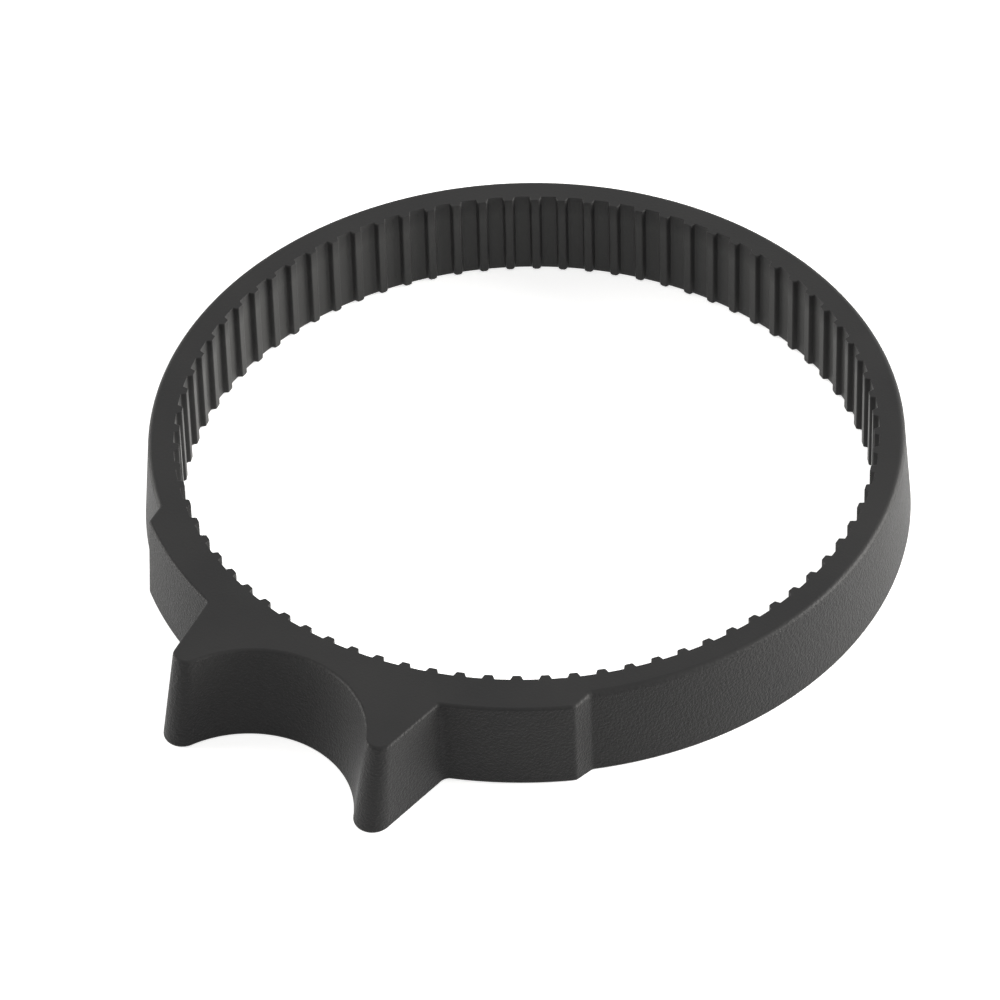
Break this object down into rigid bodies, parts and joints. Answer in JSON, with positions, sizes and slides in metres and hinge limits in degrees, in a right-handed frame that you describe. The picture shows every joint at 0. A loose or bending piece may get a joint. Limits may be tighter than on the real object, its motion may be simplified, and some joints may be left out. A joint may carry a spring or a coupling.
{
  "type": "lens focus gear ring",
  "caption": "Soft rubber ring that grips a lens's focus barrel with upright ribs in its bore; a thick pad outside carries a horned finger lever for turning the focus.",
  "frame": {"origin": "on the bore's axis, in the plane of the bottom face that the ring lies on", "axes": "+Z along the bore's axis, up from the bottom face to the narrower top face; the finger lever points to -Y"},
  "size_m": [0.0834, 0.0927, 0.0106],
  "materials": {
    "rubber": "matte black-grey moulded rubber with a fine grain on the outer walls and a smoother top face"
  },
  "bodies": {
    "root": {"focus_ring": "rubber"}
  },
  "joints": []
}
